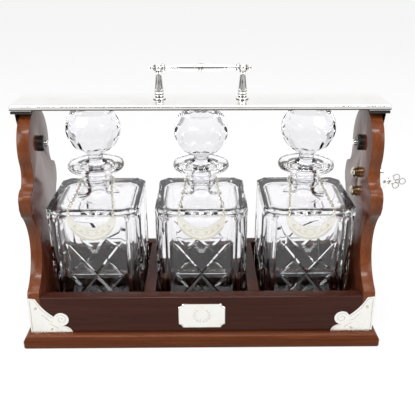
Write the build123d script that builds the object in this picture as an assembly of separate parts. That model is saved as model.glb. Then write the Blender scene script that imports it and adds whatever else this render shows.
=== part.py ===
from build123d import *
import os
from math import asin, cos, pi, radians, sin, sqrt

# Tantalus: a mahogany tray with three glass decanters held under a plated bar.
# Millimetres. The origin is the centre of the plinth's underside, on the resting surface.
# +X is to the right, -Y is the front, +Z is up.

# ---- driving dimensions: case ---------------------------------------------------------------
PLINTH_WIDTH = 390.0
PLINTH_DEPTH = 158.0
PLINTH_HEIGHT = 15.2
CASE_WIDTH = 372.0
CASE_DEPTH = 140.0
RAIL_TOP = 60.0
BOARD = 12.5                # thickness of rails, dividers and end panels
MIDDLE_BAY = 101.3          # clear width between the dividers
FLOOR_THICKNESS = 3.0
PANEL_TOP_RADIUS = 38.2     # round head of each end panel, about the pivot

SCREW_RADIUS = 2.0
SCREW_HEAD_RADIUS = 4.2
SCREW_RECESS = 0.6
SCREW_LENGTH = 32.0

# ---- driving dimensions: plated mounts ------------------------------------------------------
PLAQUE_WIDTH = 50.4
PLAQUE_HEIGHT = 30.0
PLATE = 0.8                 # sheet thickness of brackets and plaque
BRACKET_REACH = 44.9
BRACKET_LOBE = (33.2, 33.0)
BRACKET_LOBE_RADIUS = 8.2
BRACKET_PINS = ((7.0, 47.0), (22.0, 20.0))
PIN_RADIUS = 1.1
PIN_HEAD_RADIUS = 1.6

# ---- driving dimensions: pivots -------------------------------------------------------------
PIVOT_HEIGHT = 210.0        # axis that the bar swings about
PIVOT_HOLE_RADIUS = 3.5
NUT_RADIUS = 8.5
NUT_THICKNESS = 6.0
NUT_TIP = 3.6
TOUCH = 0.05                # radial clearance of a turned piece in its hole

# ---- driving dimensions: lock and key -------------------------------------------------------
LOCK_HEIGHT = 165.0
LOCK_THROW = 6.0            # travel of the lock's bolt in a quarter turn
LOCK_HALF_WIDTH = 13.0
LOCK_DEPTH = 12.0
LOCK_TOP = 183.0
NOSE_RADIUS = 8.5
NOSE_END = 204.2
PLUG_RADIUS = 5.0
BOLT_HALF_WIDTH = 4.8
BOLT_THICKNESS = 3.2
STUD_SPACING = 22.0
STUD_RADIUS = 2.0
STUD_REACH = 8.2            # how far the studs' nuts stand out inside the case
COLLAR_RADIUS = 5.75
COLLAR_LENGTH = 4.2
KEY_SHANK_RADIUS = 2.3
KEY_START = 198.8
KEY_FIN = 1.2
KEY_FIN_REACH = 3.8
KEY_COLLAR_END = 208.8
KEY_BOW_END = 227.3
KEY_BOW_THICKNESS = 2.2

# ---- driving dimensions: bar, arms and handle -----------------------------------------------
BAR_LENGTH = 384.4
BAR_DEPTH = 58.0
BAR_TOP = 257.7
BAR_THICKNESS = 4.9
ARM_THICKNESS = 3.6
ARM_GAP = 1.6               # space between an end panel and its arm
ARM_TOP_HALF = 24.0
ARM_EYE_RADIUS = 13.0
ARM_END_RADIUS = 26.0       # lower end of the right arm, about the pivot
ARM_SCREW_X = 179.5
ARM_SCREW_Y = 15.0
ARM_SCREW_RADIUS = 1.6
ARM_SCREW_HEAD = 3.0
FOOT_LENGTH = 20.0
FOOT_HALF_DEPTH = 25.0
FOOT_THICKNESS = 1.8        # bent foot of each arm, under the bar
PAD_THICKNESS = 2.4         # black pad under the foot
GRIP_HEIGHT = 289.8
POST_OFFSET = 43.1
POST_BALL = 4.0
POST_STUD = 2.5             # radius of the handle posts' threaded ends
TIE_RADIUS = 1.5
FLUTES = 8
FLUTE_RADIUS = 1.15

# ---- driving dimensions: glass --------------------------------------------------------------
DECANTER_SIDE = 98.0
DECANTER_PITCH = 114.5
DECANTER_CORNER = 9.0       # flat cut on each upright corner
SHOULDER_TOP = 151.6
WALL = 6.5
BASE_THICKNESS = 10.0
NECK_RADIUS = 15.4
LIP_TOP = 188.4
LIP_RADIUS = 30.4
MOUTH_RADIUS = 9.6          # at the lip; the bore narrows downwards with the stopper
BORE_TAPER = 0.03
PEG_LENGTH = 24.0
TURN_CLEARANCE = 0.07
BALL_RADIUS = 27.9          # to the flat facets
BALL_HEIGHT = 227.3         # centre of the outer stoppers' balls
BALL_FLAT = 17.4            # from the ball's centre up to its flat top
MIDDLE_BALL_DROP = 3.0      # the middle stopper sits lower than its neighbours

# ---- driving dimensions: labels and chains --------------------------------------------------
LABEL_WIDTH = 50.6
LABEL_TOP = 147.0
LABEL_DROP = 28.0
LABEL_THICKNESS = 1.0
LABEL_GAP = 2.6             # from the glass to the middle of the label's plate
LABEL_HOLE_DROP = 1.2       # from the label's top edge down to the middle of its ring holes
WIRE = 0.45                 # radius of the wire in rings and chain links
RING_RADIUS = 2.0
LINK_PITCH = 3.15
LINK_HALF = 2.1             # from the link's middle to the wire's centre at its end
LINK_BEND = 1.25
LINK_PLAY = 0.6             # slack between a chain's end link and the label's ring
CHAIN_CLEAR = 2.1           # from a surface to the middle of the chain

# ---- derived sizes --------------------------------------------------------------------------
CASE_HALF = CASE_WIDTH / 2
FRONT = -CASE_DEPTH / 2
BACK = CASE_DEPTH / 2
INNER_HALF = CASE_HALF - BOARD          # inner face of an end panel
FLOOR_TOP = PLINTH_HEIGHT + FLOOR_THICKNESS
DIVIDER_OFFSET = (MIDDLE_BAY + BOARD) / 2
PIVOT_RADIUS = PIVOT_HOLE_RADIUS - TOUCH
BOLT_START = CASE_HALF + 1.7
BAR_BOTTOM = BAR_TOP - BAR_THICKNESS
FOOT_BOTTOM = BAR_BOTTOM - FOOT_THICKNESS
PAD_BOTTOM = FOOT_BOTTOM - PAD_THICKNESS
ARM_INNER = CASE_HALF + ARM_GAP
ARM_OUTER = ARM_INNER + ARM_THICKNESS
NOTCH_HALF = BOLT_HALF_WIDTH + 0.5
DECANTER_HALF = DECANTER_SIDE / 2
LABEL_PLANE = -DECANTER_HALF - LABEL_GAP
RING_HEIGHT = LABEL_TOP + RING_RADIUS - LABEL_HOLE_DROP
RING_OFFSET = LABEL_WIDTH / 2 - 2.2
SIDES = (("left", -1), ("right", 1))
PLACES = (("left", -DECANTER_PITCH), ("middle", 0.0), ("right", DECANTER_PITCH))


def block(x0, x1, y0, y1, z0, z1):
    """A rectangular block between two opposite corners."""
    corner = Pos((x0 + x1) / 2, (y0 + y1) / 2, (z0 + z1) / 2)
    return corner * Box(abs(x1 - x0), abs(y1 - y0), abs(z1 - z0))


def rod_x(radius, x0, x1, y=0.0, z=0.0):
    """A round bar lying along X."""
    return Pos((x0 + x1) / 2, y, z) * Rot(0, 90, 0) * Cylinder(radius, abs(x1 - x0))


def rod_y(radius, y0, y1, x=0.0, z=0.0):
    """A round bar lying along Y."""
    return Pos(x, (y0 + y1) / 2, z) * Rot(90, 0, 0) * Cylinder(radius, abs(y1 - y0))


def rod_z(radius, z0, z1, x=0.0, y=0.0):
    """A round bar standing along Z."""
    return Pos(x, y, (z0 + z1) / 2) * Cylinder(radius, abs(z1 - z0))


def turned(points, x=0.0, y=0.0):
    """A piece turned about an upright axis from (radius, height) points."""
    outline = Plane.XZ * make_face(Polyline(*points, close=True))
    return Pos(x, y, 0) * revolve(outline, Axis.Z)


def turned_along_x(points, z, y=0.0):
    """A piece turned about an axis along X from (position along X, radius) points."""
    outline = Plane.XZ * make_face(Polyline(*points, close=True))
    return Pos(0, y, z) * revolve(outline, Axis.X)


# ---- mahogany case --------------------------------------------------------------------------
def plinth():
    """Base board with a moulded edge: an upright band below a quarter-round."""
    band_height = 8.0
    step = 1.6
    rounding = 5.4
    screw_reach = PLINTH_HEIGHT + 1
    band = block(-PLINTH_WIDTH / 2, PLINTH_WIDTH / 2, -PLINTH_DEPTH / 2, PLINTH_DEPTH / 2, 0, band_height)
    band = fillet(band.edges().filter_by(Axis.Z), 3.0)
    band = chamfer(band.faces().sort_by(Axis.Z)[0].edges(), 1.0)
    half_x = PLINTH_WIDTH / 2 - step
    half_y = PLINTH_DEPTH / 2 - step
    top = block(-half_x, half_x, -half_y, half_y, band_height, PLINTH_HEIGHT)
    top = fillet(top.faces().sort_by(Axis.Z)[-1].edges(), rounding)
    board = band + top
    for x, y in screw_places():
        board -= rod_z(SCREW_RADIUS, -1, screw_reach, x, y)
        board -= turned(screw_head_outline(0.0), x, y)
    return board


def screw_places():
    """Screws that hold the plinth: three under each rail and one under each end panel."""
    rail_y = (CASE_DEPTH - BOARD) / 2
    panel_x = CASE_HALF - BOARD / 2
    places = [(x, y) for x in (-120.0, 0.0, 120.0) for y in (-rail_y, rail_y)]
    return places + [(-panel_x, 0.0), (panel_x, 0.0)]


def screw_head_outline(start):
    """Countersunk head, from the recess depth to the shank."""
    depth = SCREW_HEAD_RADIUS - SCREW_RADIUS
    return [(0, start), (SCREW_HEAD_RADIUS, start), (SCREW_HEAD_RADIUS, SCREW_RECESS),
            (SCREW_RADIUS, SCREW_RECESS + depth), (0, SCREW_RECESS + depth)]


def screw_shaft(x, y):
    return rod_z(SCREW_RADIUS, SCREW_RECESS, SCREW_LENGTH, x, y)


def plinth_screws():
    """Countersunk wood screws driven up through the plinth."""
    screws = []
    for x, y in screw_places():
        head = turned(screw_head_outline(SCREW_RECESS - 0.01), x, y)
        slot = block(x - SCREW_HEAD_RADIUS, x + SCREW_HEAD_RADIUS, y - 0.5, y + 0.5, 0, SCREW_RECESS + 0.8)
        screws.append(screw_shaft(x, y) + head - slot)
    return Compound(children=screws)


def tray_floor():
    """Thin lined board that the decanters stand on, inside the rails and panels."""
    inside = BACK - BOARD
    return block(-INNER_HALF, INNER_HALF, -inside, inside, PLINTH_HEIGHT, FLOOR_TOP)


def rail(y0, y1):
    """Long side of the tray, between the end panels."""
    board = block(-INNER_HALF, INNER_HALF, y0, y1, PLINTH_HEIGHT, RAIL_TOP)
    board = chamfer(board.faces().sort_by(Axis.Z)[-1].edges().filter_by(Axis.X), 0.8)
    for x, y in screw_places():
        if min(y0, y1) < y < max(y0, y1):
            board -= screw_shaft(x, y)
    return board


def divider(x):
    """Cross wall between two decanters, level with the rails."""
    inside = BACK - BOARD
    board = block(x - BOARD / 2, x + BOARD / 2, -inside, inside, FLOOR_TOP, RAIL_TOP)
    return chamfer(board.faces().sort_by(Axis.Z)[-1].edges().filter_by(Axis.Y), 0.8)


def panel_outline():
    """Shaped end panel, seen from the side: round head, neck, ledge, lobe, hollow sweep, foot."""
    foot = (BACK, RAIL_TOP + 2)
    foot_round = (BACK - 1.8, RAIL_TOP + 5.6)
    sweep_start = (64.5, 68.0)
    sweep_waist = (38.4, 112.0)
    sweep_end = (53.8, 148.1)
    lobe_low = (56.8, 156.2)
    lobe_high = (56.2, 165.0)
    lobe_round = (53.0, 171.2)
    ledge_outer = (46.0, 174.9)
    ledge_inner = (42.2, 175.3)
    neck = (35.7, 187.0)
    head_start_height = 201.0
    rise = head_start_height - PIVOT_HEIGHT
    head_start = (sqrt(PANEL_TOP_RADIUS ** 2 - rise ** 2), head_start_height)
    head_top = (0, PIVOT_HEIGHT + PANEL_TOP_RADIUS)

    def half(side):
        at = [(side * y, z) for y, z in (
            (BACK, PLINTH_HEIGHT), foot, foot_round, sweep_start, sweep_waist, sweep_end, lobe_low,
            lobe_high, lobe_round, ledge_outer, ledge_inner, neck, head_start)]
        head_middle = asin(rise / PANEL_TOP_RADIUS) / 2 + pi / 4
        on_head = (side * PANEL_TOP_RADIUS * cos(head_middle),
                   PIVOT_HEIGHT + PANEL_TOP_RADIUS * sin(head_middle))
        return [Line(at[0], at[1]), ThreePointArc(at[1], at[2], at[3]), ThreePointArc(at[3], at[4], at[5]),
                Line(at[5], at[6]), Line(at[6], at[7]), ThreePointArc(at[7], at[8], at[9]),
                Line(at[9], at[10]), ThreePointArc(at[10], at[11], at[12]),
                ThreePointArc(at[12], on_head, head_top)]

    base = Line((-BACK, PLINTH_HEIGHT), (BACK, PLINTH_HEIGHT))
    return make_face(Curve() + half(1) + half(-1) + base)


def end_panel(side):
    """Shaped end of the case, with its pivot hole and, on the right, the lock's stud holes."""
    x0 = min(side * INNER_HALF, side * CASE_HALF)
    panel = Pos(x0, 0, 0) * extrude(Plane.YZ * panel_outline(), BOARD)
    panel -= rod_x(PIVOT_HOLE_RADIUS, side * (INNER_HALF - 1), side * (CASE_HALF + 1), z=PIVOT_HEIGHT)
    if side > 0:
        for z in lock_stud_heights():
            panel -= rod_x(STUD_RADIUS + TOUCH, INNER_HALF - 1, CASE_HALF + 1, z=z)
    for x, y in screw_places():
        if abs(x) > INNER_HALF and x * side > 0:
            panel -= screw_shaft(x, y)
    return panel


# ---- plated mounts on the case ----------------------------------------------------------------
def bracket_outline():
    """Outline of one wing: distance from the corner, height. A sweep, a round lobe and a foot."""
    top_end = (8.0, 58.8)
    sweep_mid = (15.4, 46.5)
    sweep_end = (27.0, 35.6)
    foot_start = (36.0, 24.5)
    foot_mid = (42.0, 21.4)
    low = PLINTH_HEIGHT + 0.1
    wing = make_face(
        Curve() + [Line((0, low), (0, RAIL_TOP)), Line((0, RAIL_TOP), top_end),
                   ThreePointArc(top_end, sweep_mid, sweep_end), Line(sweep_end, foot_start),
                   ThreePointArc(foot_start, foot_mid, (BRACKET_REACH, low)),
                   Line((BRACKET_REACH, low), (0, low))])
    return wing + Pos(*BRACKET_LOBE) * Circle(BRACKET_LOBE_RADIUS)


def corner_bracket(side):
    """Thin plated bracket bent round a front corner: a front wing and a matching side wing."""
    corner_x = side * CASE_HALF
    wing = bracket_outline()
    front_wing = extrude(Plane.XZ * wing, PLATE)
    if side > 0:
        front_wing = mirror(front_wing, Plane.YZ)
    front_wing = Pos(corner_x, FRONT, 0) * front_wing
    side_wing = extrude(Plane.YZ * wing, PLATE if side > 0 else -PLATE)
    side_wing = Pos(corner_x, FRONT, 0) * side_wing
    edge = block(corner_x, corner_x + side * PLATE, FRONT - PLATE, FRONT, PLINTH_HEIGHT + 0.1, RAIL_TOP)
    bracket = front_wing + side_wing + edge
    for reach, z in BRACKET_PINS:
        bracket -= rod_y(PIN_RADIUS, FRONT - 2, FRONT + 1, corner_x - side * reach, z)
        bracket -= rod_x(PIN_RADIUS, corner_x - 1, corner_x + 1, FRONT + reach, z)
    return bracket


def bracket_pins():
    """Round-headed pins: two in each wing of each bracket."""
    pins = []
    head = 0.6
    face_y = FRONT - PLATE
    for _, side in SIDES:
        corner_x = side * CASE_HALF
        face_x = corner_x + side * PLATE
        for reach, z in BRACKET_PINS:
            x = corner_x - side * reach
            pins.append(rod_y(PIN_RADIUS, FRONT, face_y, x, z)
                        + rod_y(PIN_HEAD_RADIUS, face_y, face_y - head, x, z))
            y = FRONT + reach
            pins.append(rod_x(PIN_RADIUS, corner_x, face_x, y, z)
                        + rod_x(PIN_HEAD_RADIUS, face_x, face_x + side * head, y, z))
    return Compound(children=pins)


def plaque():
    """Plate with notched corners on the front rail."""
    notch = 4.0
    middle = (PLINTH_HEIGHT + RAIL_TOP) / 2 - 1
    outline = Rectangle(PLAQUE_WIDTH, PLAQUE_HEIGHT)
    for sx in (-1, 1):
        for sy in (-1, 1):
            outline -= Pos(sx * PLAQUE_WIDTH / 2, sy * PLAQUE_HEIGHT / 2) * Circle(notch)
    plate = Pos(0, FRONT, middle) * extrude(Plane.XZ * outline, PLATE)
    return chamfer(plate.faces().sort_by(Axis.Y)[0].edges(), 0.3)


# ---- pivots ---------------------------------------------------------------------------------------
def pivot_bolts():
    """Two bolts, from a domed head outside each arm to a bare tip inside each nut."""
    bolts = []
    dome = 2.8
    head_radius = 7.5
    head_start = ARM_OUTER + 0.3
    tip = INNER_HALF - NUT_THICKNESS - NUT_TIP
    for _, side in SIDES:
        outline = [(tip, 0), (tip, PIVOT_RADIUS - 0.8), (tip + 0.8, PIVOT_RADIUS),
                   (head_start, PIVOT_RADIUS), (head_start, head_radius), (head_start + 0.8, head_radius),
                   (head_start + 0.8 * dome, head_radius * 0.62), (head_start + dome, 0)]
        bolts.append(turned_along_x([(side * x, r) for x, r in outline], PIVOT_HEIGHT))
    return Compound(children=bolts)


def pivot_washers():
    """Thin washers that space each arm off its panel."""
    washer_radius = 9.0
    gap = 0.3
    washers = []
    for _, side in SIDES:
        disc = rod_x(washer_radius, side * CASE_HALF, side * (ARM_INNER - gap), z=PIVOT_HEIGHT)
        bore = rod_x(PIVOT_RADIUS + TOUCH, side * (CASE_HALF - 1), side * ARM_INNER, z=PIVOT_HEIGHT)
        washers.append(disc - bore)
    return Compound(children=washers)


def pivot_nuts():
    """Round black nuts with fluted rims, on the inner faces of the panels."""
    nuts = []
    flutes = 8
    flute_radius = 1.6
    for _, side in SIDES:
        inner = side * (INNER_HALF - NUT_THICKNESS)
        nut = rod_x(NUT_RADIUS, side * INNER_HALF, inner, z=PIVOT_HEIGHT)
        nut = chamfer(nut.edges().filter_by(lambda e: abs(e.center().X) < INNER_HALF - 1), 1.2)
        for i in range(flutes):
            turn = 2 * pi * i / flutes
            y = (NUT_RADIUS + 0.7) * cos(turn)
            z = PIVOT_HEIGHT + (NUT_RADIUS + 0.7) * sin(turn)
            nut -= rod_x(flute_radius, side * (INNER_HALF - 1.5), inner - side, y, z)
        nut -= rod_x(PIVOT_RADIUS, side * (INNER_HALF + 1), inner - side, z=PIVOT_HEIGHT)
        nuts.append(nut)
    return Compound(children=nuts)


# ---- lock -------------------------------------------------------------------------------------------
def lock_stud_heights():
    half = STUD_SPACING / 2
    return (LOCK_HEIGHT - half, LOCK_HEIGHT + half)


def lock_case():
    """Flat box lock on the right panel, with a bolt way open at the top and a bore for the plug."""
    bottom = 2 * LOCK_HEIGHT - LOCK_TOP
    outer = CASE_HALF + LOCK_DEPTH
    play = 0.15
    case = block(CASE_HALF, outer, -LOCK_HALF_WIDTH, LOCK_HALF_WIDTH, bottom, LOCK_TOP)
    case = fillet(case.edges().filter_by(Axis.X), 4.0)
    case = chamfer(case.faces().sort_by(Axis.X)[-1].edges(), 1.0)
    way = BOLT_HALF_WIDTH + play
    case -= block(BOLT_START - play, BOLT_START + BOLT_THICKNESS + play, -way, way, bottom + 5, LOCK_TOP + 1)
    case -= rod_x(PLUG_RADIUS + TOUCH, BOLT_START + BOLT_THICKNESS, outer + 1, z=LOCK_HEIGHT)
    return case


def lock_nose():
    """Round nose on the lock case, a short tube that the plug turns in."""
    start = CASE_HALF + LOCK_DEPTH
    nose = turned_along_x([(start, 0), (start, NOSE_RADIUS + 1.2), (start + 0.9, NOSE_RADIUS + 1.2),
                           (start + 1.5, NOSE_RADIUS), (NOSE_END - 2.0, NOSE_RADIUS),
                           (NOSE_END - 0.6, NOSE_RADIUS - 0.8), (NOSE_END, NOSE_RADIUS - 2.2),
                           (NOSE_END, 0)], LOCK_HEIGHT)
    return nose - rod_x(PLUG_RADIUS + TOUCH, start - 1, NOSE_END + 1, z=LOCK_HEIGHT)


def lock_plug():
    """Turning plug behind the nose, with a round keyway along its axis."""
    inner = BOLT_START + BOLT_THICKNESS + 0.4
    play = 0.15
    bottom = KEY_START - 0.6
    plug = rod_x(PLUG_RADIUS, inner, NOSE_END - 0.4, z=LOCK_HEIGHT)
    plug -= rod_x(KEY_SHANK_RADIUS + TOUCH, bottom, NOSE_END + 1, z=LOCK_HEIGHT)
    fin = KEY_FIN / 2 + play
    plug -= block(bottom, NOSE_END + 1, -fin, fin, LOCK_HEIGHT, LOCK_HEIGHT + KEY_FIN_REACH + play)
    return plug


def lock_bolt():
    """Flat bolt, drawn down into the case. It rises into the arm's notch to lock the bar."""
    bottom = LOCK_HEIGHT - 9
    bolt = block(BOLT_START, BOLT_START + BOLT_THICKNESS, -BOLT_HALF_WIDTH, BOLT_HALF_WIDTH,
                 bottom, LOCK_TOP - 0.4)
    return fillet(bolt.faces().sort_by(Axis.Z)[-1].edges().filter_by(Axis.X), 1.5)


def lock_studs():
    """Two threaded studs from the back of the lock case, through the panel."""
    tip = INNER_HALF - STUD_REACH + 1.5
    return Compound(children=[rod_x(STUD_RADIUS, tip, CASE_HALF, z=z) for z in lock_stud_heights()])


def lock_collars():
    """Brass collars on the studs, against the panel's inner face."""
    collars = []
    end = INNER_HALF - COLLAR_LENGTH
    for z in lock_stud_heights():
        collar = turned_along_x([(INNER_HALF, 0), (INNER_HALF, COLLAR_RADIUS), (end + 1.4, COLLAR_RADIUS),
                                 (end + 1.0, COLLAR_RADIUS - 0.9), (end, COLLAR_RADIUS - 0.9), (end, 0)], z)
        collars.append(collar - rod_x(STUD_RADIUS, end - 1, INNER_HALF + 1, z=z))
    return Compound(children=collars)


def lock_cap_nuts():
    """Domed plated nuts that close the studs."""
    caps = []
    start = INNER_HALF - COLLAR_LENGTH
    end = INNER_HALF - STUD_REACH
    length = start - end
    for z in lock_stud_heights():
        cap = turned_along_x([(start, 0), (start, COLLAR_RADIUS - 0.3),
                              (start - 0.35 * length, COLLAR_RADIUS),
                              (start - 0.7 * length, COLLAR_RADIUS * 0.8),
                              (end, COLLAR_RADIUS * 0.35), (end, 0)], z)
        caps.append(cap - rod_x(STUD_RADIUS, end + 1.5, start + 1, z=z))
    return Compound(children=caps)


def key():
    """Key with a pipe shank, a turned collar and a pierced bow standing upright."""
    shank = rod_x(KEY_SHANK_RADIUS, KEY_START, KEY_COLLAR_END, z=LOCK_HEIGHT)
    pipe_radius = 1.2
    pipe_depth = 7.0
    shank -= rod_x(pipe_radius, KEY_START - 1, KEY_START + pipe_depth, z=LOCK_HEIGHT)
    half = KEY_FIN / 2
    fin = block(KEY_START, KEY_START + 4, -half, half, LOCK_HEIGHT + 1.6, LOCK_HEIGHT + KEY_FIN_REACH)
    collar = turned_along_x([(NOSE_END + 0.4, 0), (NOSE_END + 0.4, 2.9), (NOSE_END + 1.8, 3.3),
                             (NOSE_END + 2.4, 2.4), (KEY_COLLAR_END - 0.9, 2.4),
                             (KEY_COLLAR_END - 0.6, 3.8), (KEY_COLLAR_END + 0.8, 3.8),
                             (KEY_COLLAR_END + 1.0, 2.2), (KEY_COLLAR_END + 1.6, 0)],
                            LOCK_HEIGHT)
    return shank + fin + collar + key_bow()


def key_bow():
    """Pierced bow: three open lobes round a small open centre, in one flat plate."""
    start = KEY_COLLAR_END + 0.6
    length = KEY_BOW_END - start
    lobe = length * 0.235
    side_lobes = (start + length * 0.38, length * 0.27)
    end_lobe = KEY_BOW_END - lobe
    plate = Pos(side_lobes[0], side_lobes[1]) * Circle(lobe)
    plate += Pos(side_lobes[0], -side_lobes[1]) * Circle(lobe)
    plate += Pos(end_lobe, 0) * Circle(lobe)
    plate += Pos(start + length * 0.42, 0) * Circle(lobe * 0.9)
    plate += Pos(start + length * 0.12, 0) * Rectangle(length * 0.3, 3.0)
    for x, z, size in ((side_lobes[0], side_lobes[1], 0.58), (side_lobes[0], -side_lobes[1], 0.58),
                       (end_lobe, 0, 0.58), (start + length * 0.45, 0, 0.33)):
        plate -= Pos(x, z) * Circle(lobe * size)
    bow = extrude(Plane.XZ * plate, KEY_BOW_THICKNESS / 2, both=True)
    return Pos(0, 0, LOCK_HEIGHT) * bow


# ---- bar, arms and handle -----------------------------------------------------------------------
def arm_screw_places(side):
    return [(side * ARM_SCREW_X, y) for y in (-ARM_SCREW_Y, ARM_SCREW_Y)]


def top_bar():
    """Flat plated bar over the stoppers, with holes for the handle posts and arm screws."""
    half = BAR_LENGTH / 2
    bar = block(-half, half, -BAR_DEPTH / 2, BAR_DEPTH / 2, BAR_BOTTOM, BAR_TOP)
    bar = fillet(bar.edges().filter_by(Axis.Z), 3.0)
    bar = fillet(bar.faces().sort_by(Axis.Z)[-1].edges(), 1.9)
    bar = fillet(bar.faces().sort_by(Axis.Z)[0].edges(), 1.9)
    for _, side in SIDES:
        bar -= rod_z(POST_STUD, BAR_BOTTOM - 1, BAR_TOP + 1, side * POST_OFFSET)
        for x, y in arm_screw_places(side):
            bar -= rod_z(ARM_SCREW_RADIUS, BAR_BOTTOM - 1, BAR_TOP - 1.2, x, y)
    return bar


def arm(side):
    """Plate outside an end panel, bent under the bar at the top. The right one reaches the lock."""
    upper = make_face(Polyline((-ARM_TOP_HALF, BAR_BOTTOM), (ARM_TOP_HALF, BAR_BOTTOM),
                               (ARM_TOP_HALF, BAR_BOTTOM - 7), (ARM_EYE_RADIUS, PIVOT_HEIGHT),
                               (-ARM_EYE_RADIUS, PIVOT_HEIGHT), (-ARM_TOP_HALF, BAR_BOTTOM - 7), close=True))
    outline = upper + Pos(0, PIVOT_HEIGHT) * Circle(ARM_EYE_RADIUS)
    if side > 0:
        tail_half = 9.5
        tail = Pos(0, PIVOT_HEIGHT - ARM_END_RADIUS / 2) * Rectangle(2 * tail_half, ARM_END_RADIUS + 6)
        outline += tail & (Pos(0, PIVOT_HEIGHT) * Circle(ARM_END_RADIUS))
        notch_top = PIVOT_HEIGHT - ARM_END_RADIUS + LOCK_THROW + 0.6
        notch_bottom = LOCK_TOP - 2
        notch = Rectangle(2 * NOTCH_HALF, notch_top - notch_bottom)
        outline -= Pos(0, (notch_top + notch_bottom) / 2) * notch
    x0 = min(side * ARM_INNER, side * ARM_OUTER)
    plate = Pos(x0, 0, 0) * extrude(Plane.YZ * outline, ARM_THICKNESS)
    inner = ARM_OUTER - FOOT_LENGTH
    foot = block(side * inner, side * ARM_OUTER, -FOOT_HALF_DEPTH, FOOT_HALF_DEPTH, FOOT_BOTTOM, BAR_BOTTOM)
    piece = plate + foot
    piece -= rod_x(PIVOT_RADIUS + TOUCH, side * (ARM_INNER - 1), side * (ARM_OUTER + 1), z=PIVOT_HEIGHT)
    for x, y in arm_screw_places(side):
        piece -= rod_z(ARM_SCREW_RADIUS, FOOT_BOTTOM - 1, BAR_BOTTOM + 1, x, y)
        piece -= turned(arm_screw_head(), x, y)
    return piece


def arm_screw_head():
    return [(0, FOOT_BOTTOM), (ARM_SCREW_HEAD, FOOT_BOTTOM), (ARM_SCREW_RADIUS, BAR_BOTTOM), (0, BAR_BOTTOM)]


def arm_screws():
    """Countersunk screws that hold each foot up against the bar."""
    screws = []
    for _, side in SIDES:
        for x, y in arm_screw_places(side):
            shaft = rod_z(ARM_SCREW_RADIUS, BAR_BOTTOM - 0.5, BAR_TOP - 1.6, x, y)
            screws.append(shaft + turned(arm_screw_head(), x, y))
    return Compound(children=screws)


def bar_pad(side):
    """Black pad under the foot, let round the arm, with holes under the screws."""
    inner = ARM_OUTER - FOOT_LENGTH
    half = FOOT_HALF_DEPTH + 1.5
    pad = block(side * inner, side * ARM_OUTER, -half, half, PAD_BOTTOM, FOOT_BOTTOM)
    play = 0.2
    slot = ARM_TOP_HALF + play
    pad -= block(side * (ARM_INNER - play), side * (ARM_OUTER + 1), -slot, slot,
                 PAD_BOTTOM - 1, FOOT_BOTTOM + 1)
    for x, y in arm_screw_places(side):
        pad -= rod_z(ARM_SCREW_HEAD + 0.4, PAD_BOTTOM - 1, FOOT_BOTTOM + 1, x, y)
    return pad


def handle_post(side):
    """Turned post: threaded end, round flange, beaded band, fluted column and ball head."""
    base = BAR_TOP
    profile = [(0, BAR_BOTTOM - 5), (POST_STUD - 0.5, BAR_BOTTOM - 5), (POST_STUD, BAR_BOTTOM - 4.5),
               (POST_STUD, base), (6.2, base), (6.2, base + 1.2), (5.4, base + 2.0), (4.0, base + 2.4),
               (4.0, base + 2.9), (4.9, base + 3.7), (4.9, base + 4.7), (4.3, base + 5.4),
               (5.1, base + 6.4), (5.1, base + 7.6), (4.2, base + 8.6), (4.9, base + 9.6),
               (2.9, base + 26.2), (3.6, base + 27.0), (3.6, base + 28.0), (2.6, base + 28.8),
               (2.6, GRIP_HEIGHT - 1), (0, GRIP_HEIGHT - 1)]
    post = turned(profile)
    for i in range(FLUTES):
        turn = 360 * i / FLUTES
        flute = Pos(0, 0, base + 18.0) * Rot(0, -6.4, 0) * Cylinder(FLUTE_RADIUS, 14.5)
        post -= Rot(0, 0, turn) * Pos(4.45, 0, 0) * flute
    post += Pos(0, 0, GRIP_HEIGHT) * Sphere(POST_BALL)
    post -= rod_x(TIE_RADIUS + TOUCH, -POST_BALL - 1, POST_BALL + 1, z=GRIP_HEIGHT)
    return Pos(side * POST_OFFSET, 0, 0) * post


def handle_grip():
    """Swelling grip with two fine rings, cupped ends and a thin tie rod through both posts."""
    end = POST_OFFSET - POST_BALL + 0.35
    tie = POST_OFFSET + POST_BALL + 3.2
    half = [(0.9, 4.2), (1.2, 4.75), (1.9, 4.75), (2.2, 4.1), (8.0, 4.25), (16.0, 3.9), (26.0, 3.0),
            (33.0, 2.3), (end - 3.2, 2.3), (end - 2.6, 3.2), (end - 1.6, 4.2), (end - 0.9, 4.2),
            (end - 0.6, 2.6), (end - 0.6, TIE_RADIUS), (tie, TIE_RADIUS), (tie, 0)]
    points = [(-x, r) for x, r in reversed(half)] + half
    return turned_along_x(points, GRIP_HEIGHT)


def finial(side):
    """Small turned finial screwed on the end of the tie rod."""
    start = POST_OFFSET + POST_BALL - 0.3
    outline = [(start, TIE_RADIUS + TOUCH), (start, 2.6), (start + 0.8, 3.3), (start + 1.6, 2.0),
               (start + 2.3, 3.0), (start + 3.6, 3.0), (start + 4.4, 1.6), (start + 5.2, 2.1),
               (start + 6.0, 1.9), (start + 6.6, 0.8), (start + 7.0, 0), (start + 3.8, 0),
               (start + 3.8, TIE_RADIUS + TOUCH)]
    return turned_along_x([(side * x, r) for x, r in outline], GRIP_HEIGHT)


def post_nuts():
    """Hexagon nuts on the posts' threaded ends, under the bar."""
    nuts = []
    thickness = 3.2
    for _, side in SIDES:
        nut = extrude(RegularPolygon(4.6, 6), thickness) - Cylinder(POST_STUD, 20)
        nuts.append(Pos(side * POST_OFFSET, 0, BAR_BOTTOM - thickness) * nut)
    return Compound(children=nuts)


# ---- decanters, stoppers, labels and chains -------------------------------------------------------
def cut_square(side, corner):
    """A square with its corners cut flat."""
    square = Rectangle(side, side)
    return chamfer(square.vertices(), corner)


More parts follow.
